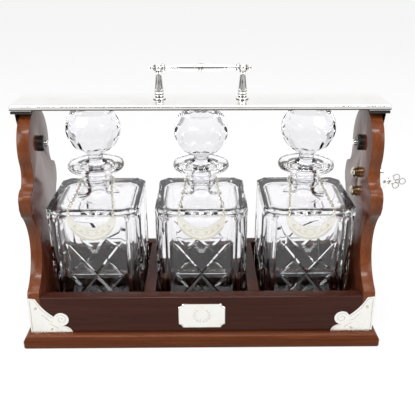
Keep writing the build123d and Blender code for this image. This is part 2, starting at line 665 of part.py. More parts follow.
def decanter(x):
    """Square hollow glass body with cut corners, a smooth low dome, short neck and wide lip."""
    outline = cut_square(DECANTER_SIDE, DECANTER_CORNER)
    body = Pos(0, 0, FLOOR_TOP) * extrude(outline, SHOULDER_TOP - FLOOR_TOP)
    body = chamfer(body.faces().sort_by(Axis.Z)[-1].edges(), 1.2)
    body = chamfer(body.faces().sort_by(Axis.Z)[0].edges(), 1.5)
    return Pos(x, 0, 0) * (body + decanter_neck() - decanter_hollow())


def decanter_neck():
    """Dome, waisted neck and wide round-edged lip, turned in one sweep."""
    base = SHOULDER_TOP - 2.0
    dome_edge = (34.0, SHOULDER_TOP)
    lip_low = (LIP_RADIUS - 1.8, LIP_TOP - 6.2)
    lip_side = (LIP_RADIUS, LIP_TOP - 3.2)
    lip_high = (LIP_RADIUS - 1.0, LIP_TOP)
    sweep = Spline(dome_edge, (24.5, SHOULDER_TOP + 0.9), (17.8, SHOULDER_TOP + 4.8),
                   (NECK_RADIUS, LIP_TOP - 23.5), (NECK_RADIUS + 0.5, LIP_TOP - 16.0),
                   (NECK_RADIUS + 5.0, LIP_TOP - 10.0), lip_low)
    edge = ThreePointArc(lip_low, lip_side, lip_high)
    rest = Polyline(lip_high, (0, LIP_TOP), (0, base), (dome_edge[0], base), dome_edge)
    return revolve(Plane.XZ * make_face(Curve() + [sweep, edge, rest]), Axis.Z)


def decanter_hollow():
    """The space for the spirit: a rounded square well, a smooth shoulder and the mouth."""
    side = DECANTER_SIDE - 2 * WALL
    low = FLOOR_TOP + BASE_THICKNESS
    high = SHOULDER_TOP - 8.0
    well = Pos(0, 0, low) * extrude(RectangleRounded(side, side, 16.0), high - low)
    well = fillet(well.faces().sort_by(Axis.Z)[-1].edges(), 7.0)
    well = fillet(well.faces().sort_by(Axis.Z)[0].edges(), 5.0)
    bore_start = high + 12.0
    start = (26.0, high - 1.0)
    end = (bore_radius(bore_start), bore_start)
    sweep = Spline(start, (18.5, high + 1.2), (12.0, high + 5.5), end)
    top = LIP_TOP + 1
    rest = Polyline(end, (bore_radius(top), top), (0, top), (0, start[1]), start)
    return well + revolve(Plane.XZ * make_face(Curve() + [sweep, rest]), Axis.Z)


def bore_radius(z):
    """Radius of the mouth at a height: it narrows downwards."""
    return MOUTH_RADIUS - BORE_TAPER * (LIP_TOP - z)


def facet_ball(radius):
    """A ball cut with flat facets in rings, flat on top."""
    ball = Sphere(radius * 1.035)
    rings = ((0, 12, 0.0), (29, 12, 0.5), (-29, 12, 0.5), (56, 8, 0.0), (-56, 8, 0.0))
    for tilt, count, shift in rings:
        for i in range(count):
            turn = 2 * pi * (i + shift) / count
            lean = radians(tilt)
            normal = Vector(cos(lean) * cos(turn), cos(lean) * sin(turn), sin(lean))
            ball = split(ball, bisect_by=Plane(origin=normal * radius, z_dir=normal), keep=Keep.BOTTOM)
    return split(ball, bisect_by=Plane.XY.offset(BALL_FLAT), keep=Keep.BOTTOM)


def stopper(x, ball_height):
    """Facet-cut ball on a waisted stem, with a tapered peg in the decanter's mouth."""
    seat = LIP_TOP + 0.3
    low = LIP_TOP - PEG_LENGTH
    peg_low = bore_radius(low) - TURN_CLEARANCE
    peg_high = bore_radius(LIP_TOP) - TURN_CLEARANCE
    under = ball_height - BALL_RADIUS
    core = ball_height - 18.0
    stem = turned([(0, low), (peg_low - 1, low), (peg_low, low + 1), (peg_high, LIP_TOP), (peg_high, seat),
                   (12.0, seat), (12.0, seat + 1.5), (8.0, seat + 4.0), (8.0, under - 1), (11.0, under + 3),
                   (11.0, core), (0, core)])
    return Pos(x, 0, 0) * (Pos(0, 0, ball_height) * facet_ball(BALL_RADIUS) + stem)


def label(x):
    """Crescent plate that hangs on two rings from its horns."""
    half = LABEL_WIDTH / 2
    tip = (half, LABEL_TOP)
    horn = (half - 4.6, LABEL_TOP)
    bottom = (0, LABEL_TOP - LABEL_DROP)
    inner = (0, LABEL_TOP - 13.0)
    outline = make_face(Curve() + [ThreePointArc((-half, LABEL_TOP), bottom, tip), Line(tip, horn),
                                   ThreePointArc(horn, inner, (-horn[0], LABEL_TOP)),
                                   Line((-horn[0], LABEL_TOP), (-half, LABEL_TOP))])
    for sx in (-1, 1):
        outline -= Pos(sx * RING_OFFSET, RING_HEIGHT - RING_RADIUS) * Circle(WIRE + 0.15)
    plate = extrude(Plane.XZ * outline, LABEL_THICKNESS / 2, both=True)
    return Pos(x, LABEL_PLANE, 0) * plate


def label_rings(x):
    """Wire rings through the label's horns, standing square to the plate."""
    rings = []
    for sx in (-1, 1):
        ring = Rot(0, 90, 0) * Torus(RING_RADIUS, WIRE)
        rings.append(Pos(x + sx * RING_OFFSET, LABEL_PLANE, RING_HEIGHT) * ring)
    return Compound(children=rings)


def link():
    """One oval wire link, lying in the XY plane with its length along X."""
    straight = LINK_HALF - LINK_BEND
    right_end = Pos(straight, 0, 0) * Torus(LINK_BEND, WIRE)
    right_end = split(right_end, bisect_by=Plane.YZ.offset(straight), keep=Keep.TOP)
    left_end = mirror(right_end, Plane.YZ)
    sides = rod_x(WIRE, -straight, straight, LINK_BEND) + rod_x(WIRE, -straight, straight, -LINK_BEND)
    return right_end + sides + left_end


def chain_route(x):
    """Middle line of a chain: up from one ring, over the shoulder, behind the neck and down again."""
    start_height = RING_HEIGHT + RING_RADIUS - 2 * WIRE - LINK_PLAY + LINK_HALF
    edge_y = -DECANTER_HALF + 2.6
    edge_height = SHOULDER_TOP + 2 * CHAIN_CLEAR
    loop = NECK_RADIUS + CHAIN_CLEAR
    loop_height = LIP_TOP - 21.5
    right = [(RING_OFFSET, LABEL_PLANE, start_height),
             (RING_OFFSET, LABEL_PLANE, start_height + LINK_PITCH / 2),
             (RING_OFFSET, LABEL_PLANE, start_height + LINK_PITCH),
             (RING_OFFSET - 0.6, edge_y, edge_height), (loop, -6.0, loop_height - 0.6),
             (loop * 0.92, 9.0, loop_height)]
    middle = (0.0, loop, loop_height)
    left = [(-px, py, pz) for px, py, pz in reversed(right)]
    points = [(x + px, py, pz) for px, py, pz in right + [middle] + left]
    return Spline(*points)


def chain(x):
    """Links threaded through each other along the route, each turned square to the next."""
    route = chain_route(x)
    steps = 2 * round(route.length / LINK_PITCH / 2)
    body_middle = SHOULDER_TOP - 2.0
    links = []
    for i in range(steps + 1):
        here = route @ (i / steps)
        along = route % (i / steps)
        outward = Vector(here.X - x, here.Y, here.Z - body_middle)
        flat = Plane(origin=here, x_dir=along, z_dir=along.cross(outward).cross(along))
        quarter = 90 * (i % 2)
        links.append(flat * Rot(quarter, 0, 0) * link())
    return Compound(children=links)


# ---- write every piece ------------------------------------------------------------------------------
def pieces():
    made = {
        "plinth": plinth(),
        "tray_floor": tray_floor(),
        "front_rail": rail(FRONT, FRONT + BOARD),
        "back_rail": rail(BACK - BOARD, BACK),
        "left_divider": divider(-DIVIDER_OFFSET),
        "right_divider": divider(DIVIDER_OFFSET),
        "bracket_pins": bracket_pins(),
        "plaque": plaque(),
        "plinth_screws": plinth_screws(),
        "pivot_bolts": pivot_bolts(),
        "pivot_washers": pivot_washers(),
        "pivot_nuts": pivot_nuts(),
        "lock_case": lock_case(),
        "lock_nose": lock_nose(),
        "lock_plug": lock_plug(),
        "lock_bolt": lock_bolt(),
        "lock_studs": lock_studs(),
        "lock_collars": lock_collars(),
        "lock_cap_nuts": lock_cap_nuts(),
        "key": key(),
        "top_bar": top_bar(),
        "arm_screws": arm_screws(),
        "handle_grip": handle_grip(),
        "post_nuts": post_nuts(),
    }
    for name, side in SIDES:
        made[name + "_end_panel"] = end_panel(side)
        made[name + "_corner_bracket"] = corner_bracket(side)
        made[name + "_arm"] = arm(side)
        made[name + "_bar_pad"] = bar_pad(side)
        made[name + "_handle_post"] = handle_post(side)
        made[name + "_finial"] = finial(side)
    for name, x in PLACES:
        ball_height = BALL_HEIGHT - (MIDDLE_BALL_DROP if name == "middle" else 0)
        made[name + "_decanter"] = decanter(x)
        made[name + "_stopper"] = stopper(x, ball_height)
        made[name + "_label"] = label(x)
        made[name + "_label_rings"] = label_rings(x)
        made[name + "_chain"] = chain(x)
    return made


os.makedirs("parts", exist_ok=True)
for node, shape in pieces().items():
    export_step(shape, "parts/" + node + ".step")
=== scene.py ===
from math import cos, pi, radians, sin

import bmesh
import bpy
from mathutils import Matrix, Vector


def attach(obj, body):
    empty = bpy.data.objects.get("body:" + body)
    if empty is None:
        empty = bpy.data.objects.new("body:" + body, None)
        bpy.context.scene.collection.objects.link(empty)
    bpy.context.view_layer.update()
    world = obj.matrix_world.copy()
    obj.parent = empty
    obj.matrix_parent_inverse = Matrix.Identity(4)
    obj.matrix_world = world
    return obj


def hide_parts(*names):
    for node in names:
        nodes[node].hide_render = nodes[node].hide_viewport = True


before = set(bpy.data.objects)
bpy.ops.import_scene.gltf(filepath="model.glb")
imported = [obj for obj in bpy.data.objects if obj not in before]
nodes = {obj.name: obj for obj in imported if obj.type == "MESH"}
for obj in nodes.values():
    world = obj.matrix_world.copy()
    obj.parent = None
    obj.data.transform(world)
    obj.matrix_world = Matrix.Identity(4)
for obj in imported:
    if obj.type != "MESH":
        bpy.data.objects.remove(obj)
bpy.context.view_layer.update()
MM = 0.001

# ---- photograph's camera: found from the plinth, rails, panels and decanters ----------------
FOCAL_PIXELS = 574.5
FRAME_PIXELS = 415.0
CAMERA_PLACE = (0.3 * MM, -593.1 * MM, 396.9 * MM)
CAMERA_DOWN = 23.92
CAMERA_RIGHT = 0.64

# ---- sizes of the CAD pieces that the added pieces sit on, in millimetres ---------------------
PLACES = (("left", -114.5), ("middle", 0.0), ("right", 114.5))
SIDES = (("left", -1), ("right", 1))
CASE_HALF = 186.0
CASE_FRONT = -70.0
PLATE = 0.8
LIFT = 0.02                 # of a raised line's middle above the surface that it lies on
PLAQUE_HALF = (25.2, 15.0)
PLAQUE_MIDDLE = 36.6
GLASS_HALF = 49.0
LABEL_FRONT = -52.1
LABEL_TOP = 147.0
LABEL_HALF = 25.3
LABEL_DROP = 28.0
BAR_TOP = 257.7
BAR_BOTTOM = 252.8
BAR_HALF_LENGTH = 192.2
BAR_HALF_DEPTH = 29.0
POST_OFFSET = 43.1
GRIP_HEIGHT = 289.8
GRIP_CUP = 36.5             # start of the cup at each end of the grip
POST_FLUTES = 8
FLUTE_MIDDLE = 18.0         # above the bar
FLUTE_HALF_LENGTH = 6.8
FLUTE_BOTTOM = 3.4          # from the post's axis, at the flute's middle
FLUTE_SLOPE = 0.112
FINIAL_START = 46.8
LOCK_HEIGHT = 165.0
KEY_BOW_HALF_THICKNESS = 1.1
BOW_LOBE = 4.21             # radius of the lobes of the key's bow
BOW_SIDE = (216.2, 4.83)    # along X, and up or down from the key's axis
BOW_END = 223.1
BOW_MIDDLE = 217.5
BOW_RIM = 0.8               # of a lobe's radius
BOW_BOSS = 0.5
KEY_COLLARS = ((206.2, 2.5), (208.1, 3.2))


def add_camera():
    """The photograph's viewpoint: high in front of the plaque, looking down a little."""
    data = bpy.data.cameras.new("camera")
    data.sensor_width = 36.0
    data.lens = FOCAL_PIXELS * data.sensor_width / FRAME_PIXELS
    camera = bpy.data.objects.new("camera", data)
    camera.location = CAMERA_PLACE
    camera.rotation_euler = (radians(90 - CAMERA_DOWN), 0, radians(-CAMERA_RIGHT))
    bpy.context.scene.collection.objects.link(camera)
    bpy.context.scene.camera = camera
    bpy.context.scene.view_settings.view_transform = "Standard"


# ---- shader helpers ---------------------------------------------------------------------------
class Shader:
    """One node material, written as a chain of small steps."""

    def __init__(self, name):
        self.material = bpy.data.materials.new(name)
        self.material.use_nodes = True
        self.tree = self.material.node_tree
        self.surface = self.tree.nodes["Principled BSDF"]
        self.output = self.tree.nodes["Material Output"]

    def add(self, kind, **values):
        node = self.tree.nodes.new("ShaderNode" + kind)
        for name, value in values.items():
            setattr(node, name, value)
        return node

    def link(self, source, target):
        self.tree.links.new(source, target)

    def constant(self, **values):
        for name, value in values.items():
            self.surface.inputs[name.replace("_", " ")].default_value = value

    def place(self, scale, turn=(0, 0, 0)):
        """The piece's own coordinates, in metres, scaled and turned."""
        where = self.add("TexCoord")
        mapping = self.add("Mapping")
        mapping.inputs["Scale"].default_value = scale
        mapping.inputs["Rotation"].default_value = turn
        self.link(where.outputs["Object"], mapping.inputs["Vector"])
        return mapping.outputs["Vector"]

    def noise(self, where, scale, detail=4.0, roughness=0.55, distortion=0.0):
        node = self.add("TexNoise")
        node.inputs["Scale"].default_value = scale
        node.inputs["Detail"].default_value = detail
        node.inputs["Roughness"].default_value = roughness
        node.inputs["Distortion"].default_value = distortion
        self.link(where, node.inputs["Vector"])
        return node.outputs["Fac"]

    def ramp(self, value, stops):
        node = self.add("ValToRGB")
        band = node.color_ramp
        while len(band.elements) < len(stops):
            band.elements.new(0.5)
        for element, (at, colour) in zip(band.elements, stops):
            element.position = at
            element.color = (*colour, 1.0)
        self.link(value, node.inputs["Fac"])
        return node.outputs["Color"]

    def range(self, value, low, high, start=0.0, end=1.0):
        node = self.add("MapRange")
        node.inputs["From Min"].default_value = start
        node.inputs["From Max"].default_value = end
        node.inputs["To Min"].default_value = low
        node.inputs["To Max"].default_value = high
        self.link(value, node.inputs["Value"])
        return node.outputs["Result"]

    def mix(self, factor, first, second, blend="MIX"):
        node = self.add("Mix", data_type="RGBA", blend_type=blend)
        for slot, value in ((0, factor), (6, first), (7, second)):
            if isinstance(value, (int, float)):
                node.inputs[slot].default_value = value
            elif isinstance(value, tuple):
                node.inputs[slot].default_value = (*value, 1.0)
            else:
                self.link(value, node.inputs[slot])
        return node.outputs[2]

    def facing(self, axis, start, end, both_ways=False):
        """How far the piece's surface faces along one of its own axes, from 0 to 1."""
        where = self.add("TexCoord")
        split = self.add("SeparateXYZ")
        self.link(where.outputs["Normal"], split.inputs[0])
        amount = split.outputs[axis]
        if both_ways:
            size = self.add("Math", operation="ABSOLUTE")
            self.link(amount, size.inputs[0])
            amount = size.outputs[0]
        return self.range(amount, 0.0, 1.0, start, end)

    def along(self, axis, start, end):
        """How far along one of the piece's own axes a point lies between two places, from 0 to 1."""
        where = self.add("TexCoord")
        split = self.add("SeparateXYZ")
        self.link(where.outputs["Object"], split.inputs[0])
        return self.range(split.outputs[axis], 0.0, 1.0, start, end)

    def bump(self, height, distance, strength=1.0, under=None):
        node = self.add("Bump")
        node.inputs["Distance"].default_value = distance
        node.inputs["Strength"].default_value = strength
        self.link(height, node.inputs["Height"])
        if under is not None:
            self.link(under, node.inputs["Normal"])
        return node.outputs["Normal"]

    def paint(self, colour=None, roughness=None, normal=None):
        for name, value in (("Base Color", colour), ("Roughness", roughness), ("Normal", normal)):
            if value is not None:
                self.link(value, self.surface.inputs[name])


# ---- materials --------------------------------------------------------------------------------
GRAIN = {"x": (0.035, 1.0, 1.0), "y": (1.0, 0.035, 1.0), "z": (1.0, 1.0, 0.035)}
PORE_LENGTH = 0.02          # the pores are drawn out more than the streaks
PORE_TONE = 0.3             # of the darkest wood
RAIL_WOOD = ((0.030, 0.0085, 0.0055), (0.046, 0.0135, 0.0085), (0.066, 0.0200, 0.0120))
TRAY_WOOD = ((0.070, 0.0200, 0.0140), (0.110, 0.0320, 0.0210), (0.160, 0.0480, 0.0310))
PLINTH_WOOD = ((0.070, 0.0185, 0.0070), (0.120, 0.0330, 0.0110), (0.175, 0.0520, 0.0165))
PANEL_WOOD = ((0.090, 0.0250, 0.0095), (0.165, 0.0465, 0.0150), (0.240, 0.0740, 0.0230))
# painted shade and sheen: darkens the end panels' side faces and tints them plum, against their lighter
# front edges
PANEL_SIDE_SHADE = (0.78, 0.70, 0.95)
TARNISH = (0.84, 0.80, 0.74)
# painted light on the bar's plate: a painted highlight towards its back, painted shade on its front edge and
# underneath
BAR_BACK_HIGHLIGHT = (0.985, 0.985, 0.98)
BAR_EDGE_SHADE = (0.77, 0.765, 0.75)
BAR_UNDER_SHADE = (0.50, 0.49, 0.47)


def mahogany(name, axis, tones, faces=None, gloss=0.12, figure=1.0):
    """French-polished mahogany: long streaks along the grain, fine pores, slow changes of tone, and, where
    faces is given, painted shade on the sides that face along X.
    """
    wood = Shader(name)
    dark, middle, light = tones
    along = wood.place(GRAIN[axis])
    streaks = wood.noise(along, 420.0, detail=8.0, roughness=0.62, distortion=0.5)
    bands = wood.noise(along, 60.0, detail=3.0, distortion=1.6)
    slow = wood.noise(wood.place((1, 1, 1)), 9.0, detail=2.0)
    drawn_out = tuple(s if s == 1.0 else PORE_LENGTH for s in GRAIN[axis])
    pores = wood.noise(wood.place(drawn_out), 1700.0, detail=2.0)
    tone = wood.mix(0.42, wood.ramp(streaks, ((0.3, dark), (0.52, middle), (0.75, light))),
                    wood.ramp(bands, ((0.32, dark), (0.5, middle), (0.7, light))))
    tone = wood.mix(wood.range(slow, 0.0, 0.5 * figure, 0.35, 0.7), tone, dark)
    flecks = wood.range(pores, 0.0, 0.7, 0.60, 0.72)
    tone = wood.mix(flecks, tone, tuple(c * PORE_TONE for c in dark))
    # painted shade: sides facing along X are darkened and tinted plum by faces, for the shade and sheen that
    # they take
    if faces is not None:
        tone = wood.mix(wood.facing("X", 0.5, 0.9, both_ways=True), tone,
                        wood.mix(1.0, tone, faces, "MULTIPLY"))
    wood.paint(tone, wood.range(streaks, 0.13, 0.24), wood.bump(pores, 0.00005, 0.2))
    wood.constant(Specular_IOR_Level=gloss)
    return wood.material


def bar_painted_light(plate, colour):
    """Painted light on the bar's plate: a painted highlight brightens it towards its back, and painted shade
    dulls its front edge and underneath.
    """
    for where, tone in ((plate.along("Y", 0.0, BAR_HALF_DEPTH * MM), BAR_BACK_HIGHLIGHT),
                        (plate.facing("Y", -0.4, -0.9), BAR_EDGE_SHADE),
                        (plate.facing("Z", -0.05, -0.4), BAR_UNDER_SHADE)):
        colour = plate.mix(where, colour, tone)
    return colour


def silver(name, tint=(0.93, 0.925, 0.905), rough=(0.07, 0.2), wear=0.5, scratched=0.25, tones=None):
    """Silver plate: bright, lightly hazed and scratched, with a little tarnish in patches; tones, where
    given, paints light and shade onto its colour.
    """
    plate = Shader(name)
    here = plate.place((1, 1, 1))
    haze = plate.noise(here, 60.0, detail=5.0)
    scratches = plate.noise(plate.place((1.0, 0.08, 0.6), (0.3, 0.2, 0.5)), 1400.0, detail=2.0)
    tarnish = plate.noise(here, 24.0, detail=6.0, roughness=0.7)
    dull = tuple(c * f for c, f in zip(tint, TARNISH))
    colour = plate.mix(plate.range(tarnish, 0.0, wear, 0.5, 0.78), tint, dull)
    # painted light and shade from tones, used for the bar
    if tones is not None:
        colour = tones(plate, colour)
    plate.paint(colour, plate.range(haze, rough[0], rough[1], 0.3, 0.7),
                plate.bump(scratches, 0.00001, scratched))
    plate.constant(Metallic=1.0)
    return plate.material


def metal(name, colour, rough, edge=0.8):
    """Plain turned metal with fine tool marks."""
    piece = Shader(name)
    here = piece.place((1, 1, 1))
    marks = piece.noise(here, 900.0, detail=3.0)
    patches = piece.noise(here, 70.0, detail=4.0)
    tone = piece.mix(piece.range(patches, 0.0, 0.6, 0.4, 0.7), colour, tuple(c * edge for c in colour))
    piece.paint(tone, piece.range(marks, rough * 0.7, rough * 1.3), piece.bump(marks, 0.00002, 0.3))
    piece.constant(Metallic=1.0)
    return piece.material


def lacquer(name):
    """Black lacquered metal, rubbed here and there."""
    black = Shader(name)
    rub = black.noise(black.place((1, 1, 1)), 160.0, detail=5.0)
    colour = black.ramp(rub, ((0.35, (0.006, 0.0055, 0.005)), (0.75, (0.02, 0.017, 0.014))))
    black.paint(colour, black.range(rub, 0.22, 0.42), black.bump(rub, 0.00008, 0.3))
    return black.material


def shade_pad(name):
    """Near-black pads with a leather grain; their colour is painted shade for the shadow gap under each end
    of the bar.
    """
    hide = Shader(name)
    cells = hide.add("TexVoronoi")
    cells.inputs["Scale"].default_value = 900.0
    hide.link(hide.place((1, 1, 1)), cells.inputs["Vector"])
    patches = hide.noise(hide.place((1, 1, 1)), 120.0)
    # painted shade: the pads' near-black colour
    hide.paint(hide.ramp(patches, ((0.3, (0.008, 0.007, 0.006)), (0.7, (0.022, 0.019, 0.016)))),
               hide.range(patches, 0.55, 0.75), hide.bump(cells.outputs["Distance"], 0.0002, 0.5))
    return hide.material


def crystal(name, tint, bending, waviness=0.12):
    """Clear crystal with very slight waves from grinding and polishing."""
    glass = Shader(name)
    waves = glass.noise(glass.place((1, 1, 1)), 38.0, detail=2.0)
    glass.paint(normal=glass.bump(waves, 0.0008, waviness))
    glass.constant(Base_Color=(*tint, 1.0), Roughness=0.0, IOR=bending, Transmission_Weight=1.0)
    return glass.material


def frosting(name):
    """White frosted strokes of the engraver's wheel on glass."""
    frost = Shader(name)
    grains = frost.noise(frost.place((1, 1, 1)), 2400.0, detail=2.0)
    frost.paint(frost.ramp(grains, ((0.3, (0.70, 0.70, 0.72)), (0.7, (0.86, 0.86, 0.87)))),
                frost.range(grains, 0.5, 0.8), frost.bump(grains, 0.00005, 0.4))
    frost.constant(IOR=1.54, Transmission_Weight=0.35)
    return frost.material


def make_materials():
    """Every finish of the object, by a short name."""
    return {
        "rail": mahogany("mahogany_rail", "x", RAIL_WOOD, figure=0.6),
        "cross": mahogany("mahogany_cross", "y", RAIL_WOOD),
        "plinth": mahogany("mahogany_plinth", "x", PLINTH_WOOD, figure=0.6),
        "panel": mahogany("mahogany_panel", "z", PANEL_WOOD, faces=PANEL_SIDE_SHADE, gloss=0.22),
        "floor": mahogany("stained_floor", "x", TRAY_WOOD, gloss=0.05),
        "silver": silver("silver_plate"),
        "bar": silver("bar_plate", (0.915, 0.912, 0.895), (0.10, 0.24), 0.5, 0.4, tones=bar_painted_light),
        "polished": silver("polished_plate", (0.90, 0.895, 0.875), (0.03, 0.09), 0.4, 0.1),
        "engraved": silver("engraved_plate", (0.885, 0.87, 0.83), (0.16, 0.34), 0.6),
        "gilt": silver("label_plate", (0.82, 0.80, 0.735), (0.22, 0.4), 0.7),
        "line": silver("engraved_line", (0.42, 0.40, 0.34), (0.3, 0.5), 0.8),
        # painted shade: a near-black line metal for the handle rings, flute lines, bar edge line and key
        # rims
        "shade": silver("painted_shade_line", (0.10, 0.095, 0.085), (0.3, 0.5), 0.8),
        "chain": silver("chain_wire", (0.78, 0.755, 0.68), (0.1, 0.25), 0.8),
        "frosted": frosting("frosted_engraving"),
        "brass": metal("old_brass", (0.38, 0.29, 0.15), 0.26),
        "cap": metal("cap_plate", (0.66, 0.61, 0.50), 0.18),
        "steel": metal("steel", (0.42, 0.41, 0.40), 0.34),
        "black": lacquer("black_lacquer"),
        "pad": shade_pad("pad_leather"),
        "glass": crystal("cut_crystal", (0.978, 0.976, 0.988), 1.47),
        "ball": crystal("stopper_crystal", (0.93, 0.93, 0.96), 1.38),
    }


NODE_FINISH = {
    "plinth": "plinth", "tray_floor": "floor", "front_rail": "rail", "back_rail": "rail",
    "left_divider": "cross", "right_divider": "cross",
    "left_end_panel": "panel", "right_end_panel": "panel",
    "left_corner_bracket": "engraved", "right_corner_bracket": "engraved", "plaque": "engraved",
    "bracket_pins": "cap", "top_bar": "bar", "handle_grip": "polished", "key": "polished",
    "left_handle_post": "polished", "right_handle_post": "polished",
    "left_finial": "polished", "right_finial": "polished",
    "left_label": "gilt", "middle_label": "gilt", "right_label": "gilt",
    "left_label_rings": "chain", "middle_label_rings": "chain", "right_label_rings": "chain",
    "left_chain": "chain", "middle_chain": "chain", "right_chain": "chain",
    "pivot_nuts": "black", "left_bar_pad": "pad", "right_bar_pad": "pad",
    "pivot_washers": "brass", "lock_collars": "brass", "lock_plug": "brass", "post_nuts": "brass",
    "lock_cap_nuts": "cap",
    "lock_studs": "steel", "lock_bolt": "steel", "plinth_screws": "steel", "arm_screws": "steel",
    "left_decanter": "glass", "middle_decanter": "glass", "right_decanter": "glass",
    "left_stopper": "ball", "middle_stopper": "ball", "right_stopper": "ball",
}


def finish_nodes(finishes):
    """Gives every CAD piece its finish. What isn't listed is silver plate."""
    for name, piece in nodes.items():
        material = finishes[NODE_FINISH.get(name, "silver")]
        piece.data.materials.clear()
        piece.data.materials.append(material)


# ---- room: white floor, soft light -------------------------------------------------------------
FLOOR_GLOW = 0.82
FLOOR_TONE = 0.15
FLOOR_FRONT = -1.3
FLOOR_REACH = 12.0
ROOM_LIGHT = 0.62
BACK_WALL = 0.97
FRONT_WALL = 0.28           # as polished metal reflects it
DARK_FRONT = (-0.95, -0.3)  # direction along Y: from the middle of the dark front to the white room
WHITE_ABOVE = (0.45, 0.85)  # direction along Z: from the front wall up to the white ceiling
LAMP_AIM = (0.0, 0.0, 0.12)
LAMPS = (("overhead", (0.0, 0.15, 1.7), (1.5, 0.9), 13.0),
         ("front_left", (-1.1, -1.2, 1.0), (0.7, 0.9), 12.0),
         ("front_right", (1.2, -1.1, 0.9), (0.6, 0.9), 9.0),
         ("front_strip", (0.0, -0.86, 1.35), (1.3, 0.12), 11.0))
FRONT_WALL_IN_GLASS = 0.72


def seen_rays(tree):
    """1 for rays from the camera and for rays reflected or refracted by metal and glass."""
    path = tree.nodes.new("ShaderNodeLightPath")
    total = path.outputs["Is Camera Ray"]
    for name in ("Is Glossy Ray", "Is Transmission Ray"):
        largest = tree.nodes.new("ShaderNodeMath")
        largest.operation = "MAXIMUM"
        tree.links.new(total, largest.inputs[0])
        tree.links.new(path.outputs[name], largest.inputs[1])
        total = largest.outputs[0]
    return total


def add_floor():
    """A wide white floor that keeps the stand's soft shadow."""
    mesh = bpy.data.meshes.new("floor")
    mesh.from_pydata([(-FLOOR_REACH, FLOOR_FRONT, 0), (FLOOR_REACH, FLOOR_FRONT, 0),
                      (FLOOR_REACH, FLOOR_REACH, 0), (-FLOOR_REACH, FLOOR_REACH, 0)], [], [(0, 1, 2, 3)])
    floor = bpy.data.objects.new("floor", mesh)
    bpy.context.scene.collection.objects.link(floor)
    paper = Shader("white_paper")
    paper.tree.nodes.remove(paper.surface)
    matt = paper.add("BsdfDiffuse")
    matt.inputs["Color"].default_value = (FLOOR_TONE, FLOOR_TONE, FLOOR_TONE, 1)
    lifted = paper.add("Emission")
    strength = paper.add("Math", operation="MULTIPLY")
    strength.inputs[1].default_value = FLOOR_GLOW
    paper.link(seen_rays(paper.tree), strength.inputs[0])
    paper.link(strength.outputs[0], lifted.inputs["Strength"])
    both = paper.add("AddShader")
    paper.link(matt.outputs[0], both.inputs[0])
    paper.link(lifted.outputs[0], both.inputs[1])
    paper.link(both.outputs[0], paper.output.inputs["Surface"])
    mesh.materials.append(paper.material)


def add_world():
    """A pale studio: white behind and above, a darker room in front of the stand."""
    world = bpy.data.worlds.new("studio")
    bpy.context.scene.world = world
    world.use_nodes = True
    tree = world.node_tree
    tree.nodes.clear()
    link = tree.links.new

    def smooth(value, between):
        node = tree.nodes.new("ShaderNodeMapRange")
        node.interpolation_type = "SMOOTHSTEP"
        node.inputs["From Min"].default_value = between[0]
        node.inputs["From Max"].default_value = between[1]
        link(value, node.inputs["Value"])
        return node.outputs["Result"]

    def blend(factor, first, second):
        node = tree.nodes.new("ShaderNodeMix")
        node.data_type = "RGBA"
        for slot, value in ((0, factor), (6, first), (7, second)):
            if isinstance(value, float):
                node.inputs[slot].default_value = (value, value, value, 1)
            else:
                link(value, node.inputs[slot])
        return node.outputs[2]

    where = tree.nodes.new("ShaderNodeTexCoord")
    split = tree.nodes.new("ShaderNodeSeparateXYZ")
    link(where.outputs["Generated"], split.inputs[0])
    lit = tree.nodes.new("ShaderNodeMath")
    lit.operation = "MAXIMUM"
    link(smooth(split.outputs["Y"], DARK_FRONT), lit.inputs[0])
    link(smooth(split.outputs["Z"], WHITE_ABOVE), lit.inputs[1])
    path = tree.nodes.new("ShaderNodeLightPath")
    front = blend(path.outputs["Is Transmission Ray"], FRONT_WALL, FRONT_WALL_IN_GLASS)
    room = blend(lit.outputs[0], front, BACK_WALL)
    shown = blend(path.outputs["Is Camera Ray"], room, BACK_WALL)
    ground = tree.nodes.new("ShaderNodeBackground")
    link(blend(seen_rays(tree), ROOM_LIGHT, shown), ground.inputs["Color"])
    output = tree.nodes.new("ShaderNodeOutputWorld")
    link(ground.outputs[0], output.inputs["Surface"])


def add_lamp(name, place, size, power):
    """A soft box aimed at the middle of the stand."""
    data = bpy.data.lights.new(name, "AREA")
    data.shape = "RECTANGLE"
    data.size, data.size_y = size
    data.energy = power
    lamp = bpy.data.objects.new(name, data)
    lamp.location = place
    aim = Vector(LAMP_AIM) - Vector(place)
    lamp.rotation_euler = aim.to_track_quat("-Z", "Y").to_euler()
    bpy.context.scene.collection.objects.link(lamp)


# ---- mesh helpers --------------------------------------------------------------------------------
WIRE_TAPER = 0.25           # of the full radius, at a line's ends


def new_piece(name, work, material, body):
    """Turns finished bmesh work into a piece of the stand."""
    mesh = bpy.data.meshes.new(name)
    work.to_mesh(mesh)
    work.free()
    mesh.materials.append(material)
    piece = bpy.data.objects.new(name, mesh)
    bpy.context.scene.collection.objects.link(piece)
    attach(piece, body)
    return piece


def wire(work, points, radius, sides=6, facing=(0, 1, 0)):
    """A fine raised line along points in a plane that faces a direction: a tube with tapered ends."""
    points = [Vector(p) * MM for p in points]
    corners = [2 * pi * k / sides for k in range(sides)]
    rings = []
    last = len(points) - 1
    for i, here in enumerate(points):
        along = (points[min(i + 1, last)] - points[max(i - 1, 0)]).normalized()
        side = along.cross(Vector(facing)).normalized()
        up = side.cross(along)
        full = radius * MM * (WIRE_TAPER if i in (0, last) else 1.0)
        rings.append([work.verts.new(here + (side * cos(a) + up * sin(a)) * full) for a in corners])
    for a, b in zip(rings, rings[1:]):
        for k in range(sides):
            n = (k + 1) % sides
            work.faces.new((a[k], a[n], b[n], b[k])).smooth = True
    work.faces.new(reversed(rings[0]))
    work.faces.new(rings[-1])


